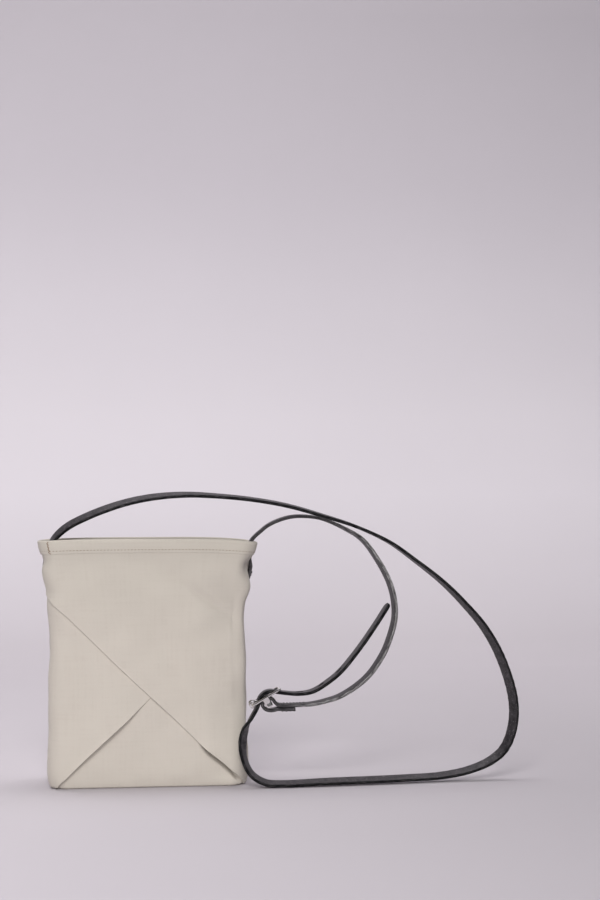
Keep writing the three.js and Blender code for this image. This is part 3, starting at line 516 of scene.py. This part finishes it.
def unrolled(p):
    """Distance along the belly from the middle of the front to p."""
    q = np.abs(p)
    away = FLAT * np.minimum(q, 1) + CORNER * np.clip(q - 1, 0, 1) + GUSSET * np.clip(q - 2, 0, 1)
    return np.sign(p) * (away + CORNER * np.clip(q - 3, 0, 1) + FLAT * np.clip(q - 4, 0, 1))


def long_fold(p):
    """Height of the wrap panel's folded edge."""
    s = unrolled(p)
    line = PEAK_HEIGHT - LONG_SLOPE * (s - PEAK_X) + 2.5 * smoothstep(60, 100, -s) + 3.5 * smoothstep(50, 76, s)
    return np.maximum(FOLD_FOOT, line + 0.5 * np.sin(s * 0.07))


POCKET_DEPTH = 6.5


def pocket(p, z):
    """How far the canvas draws in under the wrap panel's edge, where it gapes at the right foot."""
    s = unrolled(p)
    above = z - long_fold(p)
    beside = smoothstep(50, 60, s) * smoothstep(96, 84, s)
    return POCKET_DEPTH * beside * smoothstep(-7, 0, above) * smoothstep(26, 12, above)


def slump(p, z):
    """How far the soft canvas stands in or out at a place: dents, rolls and a slight unevenness."""
    s = unrolled(p)
    girth = 2 * unrolled(5)
    out = 0
    # Dents and rolls: place, height, length, breadth, turn in degrees and depth
    for s0, z0, long, short, turn, deep in (
        (62, 184, 17, 3.0, -33, -3.2), (106, 199, 10, 8, 0, 3.8),
        (106, 223, 11, 8, 0, -8.0), (104, 167, 14, 20, 0, -2.6), (24, 206, 30, 10, -38, -2.6),
        (-100, 217, 12, 9, 0, 1.6), (-100, 197, 14, 7, 0, -2.2),
        (-20, 225, 60, 12, 4, -0.8), (-196, 170, 40, 26, 30, -3.0), (205, 150, 60, 30, -35, -2.4),
        (200, 215, 40, 18, 10, -1.6), (130, 120, 14, 40, 0, -1.2), (-130, 110, 16, 50, 8, -1.4),
        (60, 60, 70, 40, 40, 0.8), (-50, 120, 40, 40, 0, 0.7), (225, 60, 60, 35, 0, -1.0),
        (76, 18, 20, 8, -43, -3.2), (-107, 229, 9, 5, 0, -3.5),
    ):
        angle = math.radians(turn)
        ahead = (s - s0 + girth / 2) % girth - girth / 2
        u = ahead * math.cos(angle) + (z - z0) * math.sin(angle)
        v = (z - z0) * math.cos(angle) - ahead * math.sin(angle)
        out = out + deep * np.exp(-0.5 * ((u / long) ** 2 + (v / short) ** 2))
    # Hollows of the front's edges: place, height, length, reach above, reach below and depth
    for s0, z0, long, over, under, deep in (
        (90, 181, 22, 22, 48, -10.0), (98, 84, 20, 40, 34, -8.0), (-92, 150, 20, 13, 34, -3.6),
    ):
        tall = np.where(z > z0, over, under)
        hollow = deep * np.exp(-0.5 * (((s - s0) / long) ** 2 + ((z - z0) / tall) ** 2))
        out = out + hollow * smoothstep(126, 82, np.abs(s))
    # Unevenness: waves round the bag, waves up it and phase
    for waves, v, turn in (
        (6, 0.043, 0.4), (3, -0.083, 1.9), (-9, 0.061, 3.3), (2, 0.052, 5.1), (13, 0.049, 2.2), (-5, 0.171, 0.9),
        (10, -0.131, 4.4), (17, 0.094, 1.3),
    ):
        out = out + 0.15 * np.sin(2 * np.pi * waves * s / girth + v * z + turn)
    tab = np.exp(-0.5 * (((np.abs(p) - 2.5) / 0.34) ** 2 + ((z - 218) / 14) ** 2))
    out = out * smoothstep(0, 14, z) * (1 - 0.85 * tab) * (1 - 0.55 * smoothstep(222, 240, z))
    return out - pocket(p, z)


def on_bag(p, z, off=0.0):
    """Place on the canvas: p goes 0 to 1 along the front, to 2 round its corner, to 3 along the gusset, to 4 round
    the back corner and to 5 along the back, and is negative on the left."""
    p, z = np.broadcast_arrays(np.asarray(p, float), np.asarray(z, float))
    swell = np.sqrt(1 - (1 - np.clip(z / SWELL, 0, 1)) ** 2)
    neck = np.maximum(0, 1 + (z - HEIGHT) / NECK) ** 2
    a = 93 + 7 * swell + RIM_FLARE * neck
    b = 34 + 3 * swell - 17 * neck
    r = 14 + 4 * swell - 2 * neck
    off = off + slump(p, z)
    q = np.abs(p)
    turn = (np.clip(q - 1, 0, 1) + np.clip(q - 3, 0, 1)) * (np.pi / 2)
    back = np.clip(q - 2, 0, 1)
    x = (a - r) * (np.minimum(q, 1) - np.clip(q - 4, 0, 1)) + (r + off) * np.sin(turn)
    x = x - tuck(z) * (1 - (2 * back - 1) ** 4)
    y = (b - r) * (2 * back - 1) - (r + off) * np.cos(turn)
    dip = np.where(p > 0, RIGHT_DIP, LEFT_DIP) * (x / a) ** 4 * (z / HEIGHT) ** 3
    return np.stack([np.sign(p) * x, y, z - dip], -1)


def right_round(corner, flat):
    """Stops of a ring right round the bag."""
    half = np.concatenate([
        np.linspace(0.002, 1, flat), np.linspace(1, 2, corner)[1:], np.linspace(2, 3, 9)[1:],
        np.linspace(3, 4, corner)[1:], np.linspace(4, 4.998, flat)[1:],
    ])
    return np.concatenate([half, -half[::-1]])


# Canvas body: the standing shell with its flat base, back, gussets and inside.
around = right_round(20, 30)
heights = np.concatenate([SWELL * np.linspace(0, 1, 12) ** 2, np.linspace(SWELL, HEIGHT, 86)[1:]])
shrink = np.array([0.01, 0.3, 0.6, 0.85, 0.97])
thick, base_thick, base_threads, inside_threads = 1.0, 1.4, 80, 300
rings, threads_up = [], []
for s in shrink:
    rings.append(on_bag(around, 0.0) * [s, s, 1] + [0, 0, 0.25 * (1 - s)])
    threads_up.append(-base_threads * (1 - s))
for z in heights:
    rings.append(on_bag(around, z))
    threads_up.append(z)
for z in heights[:2:-1]:
    rings.append(on_bag(around, max(z, base_thick), -thick))
    threads_up.append(z + inside_threads)
for s in shrink[::-1]:
    rings.append(on_bag(around, base_thick, -thick) * [s, s, 1])
    threads_up.append(inside_threads - base_threads * (1 - s))
points, faces = loft(rings)
threads_at = [np.stack([unrolled(around), np.full(len(around), up)], 1) for up in threads_up]
body = piece("bag_body", points, faces, canvas, np.concatenate(threads_at))
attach(body, "bag")
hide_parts("canvas_body")

LAYER, LAYER_GAP, OVERLAP, WRAP_TOP = 1.2, 0.25, 10, 239.0


def short_fold(p):
    """Height of the left panel's folded edge."""
    s = unrolled(p)
    return np.maximum(FOLD_FOOT, PEAK_HEIGHT + SHORT_SLOPE * (s - PEAK_X) + 0.5 * np.sin(s * 0.08))


def folded_panel(name, columns, rows, low, high, lift, node_name):
    """A layer of canvas over the front: its lower edge is a rolled fold, and its sides run into the body."""
    rings, threads_at = [], []
    share = (1 - np.cos(np.linspace(0, np.pi, rows))) / 2
    turn = np.radians([-60, -30, 0, 30, 60])
    for p in columns:
        foot, top = float(low(p)), float(high(p))
        z = foot + (top - foot) * share
        fade = float(smoothstep(2.02, 1.72, abs(p)))
        stand = np.array([lift(p, h) for h in z]) * fade - 0.7 * (1 - fade)
        all_z = np.concatenate([z[::-1], foot - 0.45 * np.cos(turn), z])
        off = np.concatenate([stand[::-1], stand[0] + 0.5 + 0.5 * np.sin(turn), stand + 1.0])
        rings.append(on_bag(np.full(len(all_z), p), all_z, off))
        threads_at.append(np.stack([np.full(len(all_z), unrolled(p)), all_z], 1))
    points, faces = loft(rings)
    made = piece(name, points, faces, canvas, np.concatenate(threads_at), sharp=75)
    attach(made, "bag")
    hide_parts(node_name)


# Base panel: the bottom triangle, which lies under its two neighbours.
folded_panel(
    "base_panel", np.linspace(-2, 2, 120), 40, lambda p: FOLD_FOOT,
    lambda p: min(long_fold(p), short_fold(p)) + OVERLAP, lambda p, z: LAYER_GAP + 0.15 * pocket(p, z),
    "base_fold_panel",
)

# Left panel: its short diagonal edge stands off the base panel and shades it, and lies flat again before the peak.
def left_lift(p, z):
    s = unrolled(p)
    above = z - float(short_fold(p))
    near = math.exp(-max(0, above) / 22)
    middle = math.exp(-0.5 * ((s + 45) / 34) ** 2) * float(smoothstep(0, -24, s))
    return LAYER_GAP + LAYER * (1 - float(smoothstep(15, 60, above))) + 5.0 * near * middle


folded_panel(
    "left_panel", np.linspace(-2, 0.06, 80), 60, short_fold, lambda p: long_fold(p) + OVERLAP, left_lift,
    "left_fold_panel",
)

# Wrap panel: the large upper right layer. Its long diagonal edge lies close on the left and gapes at the right foot.
def wrap_lift(p, z):
    s = unrolled(p)
    above = z - float(long_fold(p))
    near = math.exp(-max(0, above) / 11)
    gape = float(smoothstep(46, 62, s) * smoothstep(98, 82, s))
    layers = 1 + math.exp(-(((s + 8) / 26) ** 2))
    hem = 1 - float(smoothstep(200, 226, z))
    lip = 0.8 * math.exp(-max(0, above) / 7)
    stack = layers * LAYER * (1 - float(smoothstep(15, 66, above))) * hem
    return LAYER_GAP + stack + lip + 6.0 * near * gape + pocket(p, z)


folded_panel(
    "wrap_panel", np.linspace(-2, 2, 150), 90, long_fold, lambda p: WRAP_TOP, wrap_lift, "front_wrap_panel",
)

# Hem: a folded binding over the rim, which is wider than the belly, lapped and sewn at the left of the front.
HEM_ROW, RIM_STRETCH, LAP_ROW = 237.2, 1.09, 97.5


def hem_off(p):
    """How far the hem stands off the canvas: it clears the wrap panel on the front."""
    return 0.1 + 1.2 * smoothstep(2.2, 1.7, np.abs(p))


around = right_round(20, 40)
rings, threads_at = [], []
for p in around:
    lap = float(smoothstep(-97, -99, unrolled(p) * RIM_STRETCH) * smoothstep(2.6, 2.2, abs(p))) if p < 0 else 0.0
    front = float(hem_off(p)) + 0.25 * lap
    profile = [(234.2, front), (234.0, front + 0.2), (234.2, front + 0.36), (235.4, front + 0.42)]
    profile += [(z, front + 0.44 + 0.14 * math.sin((z - HEM_ROW) * 0.42)) for z in (HEM_ROW, 239.5, 242, 244)]
    profile += [(246.4, front + 0.4), (247.5, front), (247.9, front - 0.5), (247.9, -1.2), (247.4, -2.1)]
    profile += [(246, -2.4), (242, -2.4), (238.4, -2.4), (238.2, -1.9), (238.4, -1.35), (244, -1.3), (246.6, -1.2)]
    profile += [(246.9, 0.0), (246.6, front - 0.05), (240, front - 0.02)]
    z, off = np.array(profile).T
    rings.append(on_bag(np.full(len(z), p), z, off))
    threads_at.append(np.stack([np.full(len(z), unrolled(p)), z], 1))
points, faces = loft(rings, True)
hem = piece("hem", points, faces, canvas, np.concatenate(threads_at), sharp=75)
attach(hem, "bag")
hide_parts("rim_hem")

# Rivets: domed nickel heads on the strap ends, with their caps inside.
def rivet(name, side, profile, node_name):
    """A turned shape on a gusset, from radii and distances out of the canvas."""
    seat = np.array(on_gusset(side, RIVET_DROP, 0)[:3])
    lean = math.atan2(on_gusset(1, RIVET_DROP - 1, 0)[0] - on_gusset(1, RIVET_DROP, 0)[0], 1)
    out = np.array([side * math.cos(lean), 0, -math.sin(lean)])
    up = np.array([side * math.sin(lean), 0, math.cos(lean)])
    rings = []
    for r, x in profile:
        rings.append([
            seat + x * out + r * (math.cos(t) * np.array([0, 1, 0]) + math.sin(t) * up)
            for t in np.linspace(0, 2 * np.pi, 28, endpoint=False)
        ])
    points, faces = loft(rings)
    made = piece(name, points, faces, nickel)
    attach(made, "bag")
    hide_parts(node_name)


HEAD = [
    (1.3, -2.4), (1.3, 4.05), (3.3, 4.05), (3.5, 4.2), (3.42, 4.55), (3.1, 4.95), (2.4, 5.3), (1.4, 5.5), (0.3, 5.55),
]
CAP = [(1.4, -1.3), (3.3, -1.3), (3.5, -1.45), (3.4, -1.9), (2.8, -2.35), (1.8, -2.5), (0.3, -2.52)]
rivet("left_rivet_head", -1, HEAD, "left_rivet")
rivet("right_rivet_head", 1, HEAD, "right_rivet")
rivet("left_rivet_back", -1, CAP, "left_rivet_cap")
rivet("right_rivet_back", 1, CAP, "right_rivet_cap")

# Thread: a twisted cotton for the hem, a brown one for its lap and a waxed dark one for the strap.
def thread(name, dark, light, rough):
    """Sewing thread from its two tones."""
    made, tree, thread_shader = shader(name)
    place = node(tree, "ShaderNodeTexCoord").outputs["Object"]
    ply = node(tree, "ShaderNodeTexNoise", {"Vector": place, "Scale": 2400.0, "Detail": 3.0}).outputs["Fac"]
    tree.links.new(ramp(tree, ply, (0.35, dark), (0.65, light)), thread_shader.inputs["Base Color"])
    thread_shader.inputs["Roughness"].default_value = rough
    relief = node(tree, "ShaderNodeBump", {"Height": ply, "Strength": 0.4, "Distance": 0.0001})
    tree.links.new(relief.outputs["Normal"], thread_shader.inputs["Normal"])
    return made


cotton = thread("cotton_thread", (0.22, 0.175, 0.135), (0.40, 0.33, 0.26), 0.85)
brown = thread("brown_thread", (0.15, 0.085, 0.05), (0.28, 0.18, 0.11), 0.8)
waxed = thread("waxed_thread", (0.05, 0.05, 0.05), (0.16, 0.155, 0.15), 0.5)


def sewn(name, lines, pitch, length, thick, material, body):
    """Rows of stitches: short threads set along lines by Geometry Nodes, then kept as a plain mesh."""
    points, edges = [], []
    for line in lines:
        edges += [(len(points) + i, len(points) + i + 1) for i in range(len(line) - 1)]
        points += (np.asarray(line, float) * MM).tolist()
    mesh = bpy.data.meshes.new(name)
    mesh.from_pydata(points, edges, [])
    made = bpy.data.objects.new(name, mesh)
    scene.collection.objects.link(made)
    group = bpy.data.node_groups.new(name, "GeometryNodeTree")
    group.interface.new_socket("Geometry", in_out="INPUT", socket_type="NodeSocketGeometry")
    group.interface.new_socket("Geometry", in_out="OUTPUT", socket_type="NodeSocketGeometry")
    spacing = group.interface.new_socket("Pitch", in_out="INPUT", socket_type="NodeSocketFloat")
    given = node(group, "NodeGroupInput")
    row = node(group, "GeometryNodeMeshToCurve", {"Mesh": given.outputs["Geometry"]})
    stops = node(
        group, "GeometryNodeResampleCurve", {"Curve": row.outputs["Curve"], "Length": given.outputs["Pitch"]},
        mode="LENGTH",
    )
    at = node(group, "GeometryNodeCurveToPoints", {"Curve": stops.outputs["Curve"]}, mode="EVALUATED")
    ball = node(group, "GeometryNodeMeshUVSphere", {"Segments": 10, "Rings": 8, "Radius": 0.0005})
    scale = (thick, thick, length)
    long = node(group, "GeometryNodeTransform", {"Geometry": ball.outputs["Mesh"], "Scale": scale})
    rows = node(
        group, "GeometryNodeInstanceOnPoints",
        {"Points": at.outputs["Points"], "Instance": long.outputs["Geometry"], "Rotation": at.outputs["Rotation"]},
    )
    real = node(group, "GeometryNodeRealizeInstances", {"Geometry": rows.outputs["Instances"]})
    smooth = node(group, "GeometryNodeSetShadeSmooth", {"Geometry": real.outputs["Geometry"]})
    dressed = node(group, "GeometryNodeSetMaterial", {"Geometry": smooth.outputs["Geometry"], "Material": material})
    node(group, "NodeGroupOutput", {"Geometry": dressed.outputs["Geometry"]})
    sewing = made.modifiers.new(name, "NODES")
    sewing.node_group = group
    sewing[spacing.identifier] = pitch * MM
    kept = bpy.data.meshes.new_from_object(made.evaluated_get(bpy.context.evaluated_depsgraph_get()))
    made.modifiers.clear()
    made.data = kept
    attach(made, body)
    return made


# Hem stitches: one row round the outside of the mouth, and the short row up the lap.
ring = np.concatenate([around, around[:1] + 1e-3])
hem_row = on_bag(ring, np.full(len(ring), HEM_ROW), hem_off(ring) + 0.44)
lap_p = -1.0 - (LAP_ROW / RIM_STRETCH - FLAT) / CORNER
lap_z = np.linspace(234.8, 246.2, 9)
lap_row = on_bag(lap_p + 0.03 * (-1.0) ** np.arange(9), lap_z, np.full(9, 1.98))
sewn("hem_stitches", [hem_row], 3.4, 2.4, 0.65, cotton, "bag")
sewn("lap_stitches", [lap_row], 1.3, 1.5, 0.75, brown, "bag")

# Strap stitches: two rows that hold the fold of the short strap round the centre bar.
rows = []
for side in (-4.3, 4.3):
    rows.append([(x, BUCKLE_Y + side, z) for x, z in ((136, 81.65), (142, 81.6), (148, 81.75), (156, 82.0))])
    rows.append([(x, BUCKLE_Y + side, z) for x, z in ((134, 74.15), (138, 74.2), (142, 74.3), (146, 74.4))])
strap_stitches = sewn("strap_stitches", rows, 3.2, 2.4, 0.6, waxed, "strap")

# Stage: one pale sweep of floor and backdrop with painted light and shade, lightest low on the wall and darker to the
# right and at the top.
ahead, curve, wall_top, aside = 2600, 900, 3600, 4000
profile = [(-ahead, 0), (curve, 0)]
profile += [(curve + curve * math.sin(t), curve - curve * math.cos(t)) for t in np.radians(np.arange(6, 91, 6))]
profile += [(2 * curve, 1600), (2 * curve, wall_top)]
reach = np.concatenate([[0], np.cumsum(np.linalg.norm(np.diff(profile, axis=0), axis=1))]) - ahead
sweep_points = [(x, y, z) for x in (-aside, aside) for y, z in profile]
sweep_uv = [(x, v) for x in (-aside, aside) for v in reach]
count = len(profile)
sweep_faces = [(i, i + 1, count + i + 1, count + i) for i in range(count - 1)]
backdrop, tree, backdrop_shader = shader("backdrop_paper")
place = node(tree, "ShaderNodeTexCoord").outputs["Object"]
axes = node(tree, "ShaderNodeSeparateXYZ", {"Vector": node(tree, "ShaderNodeTexCoord").outputs["UV"]})
away = node(tree, "ShaderNodeMapRange", {"Value": axes.outputs["Y"], "From Min": -0.6, "From Max": 2.8})
# Painted light and shade up the sweep: darker on the floor, lightest low on the wall, darker at the top.
painted_sweep_light = ramp(
    tree, away.outputs["Result"], (0.0, (0.553, 0.52, 0.555)), (0.25, (0.585, 0.55, 0.586)),
    (0.5, (0.625, 0.587, 0.625)), (0.645, (0.75, 0.712, 0.762)), (0.70, (0.735, 0.698, 0.746)),
    (0.782, (0.665, 0.631, 0.678)), (0.841, (0.60, 0.568, 0.613)), (0.956, (0.476, 0.448, 0.486)),
)
# Painted shade: the floor up to the foot of the curve darkens to the right.
rightward = node(tree, "ShaderNodeMapRange", {"Value": axes.outputs["X"], "From Min": -0.12, "From Max": 0.5})
painted_right_shade = ramp(tree, rightward.outputs["Result"], (0.0, 1.0), (1.0, 0.73))
near = node(
    tree, "ShaderNodeMapRange",
    {"Value": axes.outputs["Y"], "From Min": -0.1, "From Max": 0.9, "To Min": 1.0, "To Max": 0.0},
)
painted_light_tone = blended(tree, near.outputs["Result"], painted_sweep_light, painted_right_shade, "MULTIPLY")
fibre = node(tree, "ShaderNodeTexNoise", {"Vector": place, "Scale": 3.0, "Detail": 2.0}).outputs["Fac"]
mottle = ramp(tree, fibre, (0.3, 0.985), (0.7, 1.0))
tree.links.new(blended(tree, 1.0, painted_light_tone, mottle, "MULTIPLY"), backdrop_shader.inputs["Base Color"])
backdrop_shader.inputs["Roughness"].default_value = 0.9
sweep = piece("sweep", sweep_points, sweep_faces, backdrop, sweep_uv)

# Light: a high key from the upper left front, a weak low fill, one for the backdrop, and a light bank behind that
# only the leather and the metal show.
def soft_box(name, place, aim, size, power):
    """A rectangular lamp that lights a spot without a glint of its own."""
    lamp = bpy.data.lights.new(name, "AREA")
    lamp.shape = "RECTANGLE"
    lamp.size, lamp.size_y = size
    lamp.energy = power
    lamp.color = (1.0, 0.985, 0.97)
    made = bpy.data.objects.new(name, lamp)
    scene.collection.objects.link(made)
    made.location = place
    made.rotation_euler = (Vector(aim) - Vector(place)).to_track_quat("-Z", "Y").to_euler()
    made.visible_glossy = False


soft_box("key", (-0.55, -3.35, 2.6), (0.05, 0.0, 0.1), (1.8, 1.8), 110)
soft_box("fill", (-0.3, -2.9, 0.3), (0.05, 0.0, 0.06), (1.4, 0.5), 18)
soft_box("sweep_light", (-0.3, 0.5, 2.7), (-0.2, 1.8, 0.9), (2.0, 1.2), 31)
world = bpy.data.worlds.new("room")
world.use_nodes = True
tree = world.node_tree
looking = node(tree, "ShaderNodeTexCoord").outputs["Generated"]
toward = node(tree, "ShaderNodeVectorMath", {0: looking, 1: (0.2, 0.489, 0.849)}, operation="DOT_PRODUCT")
height = node(tree, "ShaderNodeMapRange", {"Value": toward.outputs["Value"], "From Min": -1.0, "From Max": 1.0})
room = ramp(
    tree, height.outputs["Result"], (0.0, (0.75, 0.73, 0.77)), (0.5, (0.05, 0.049, 0.052)),
    (0.84, (0.16, 0.157, 0.164)), (0.95, (3.2, 3.14, 3.26)),
)
tree.links.new(room, tree.nodes["Background"].inputs["Color"])
tree.nodes["Background"].inputs["Strength"].default_value = 0.6
scene.world = world
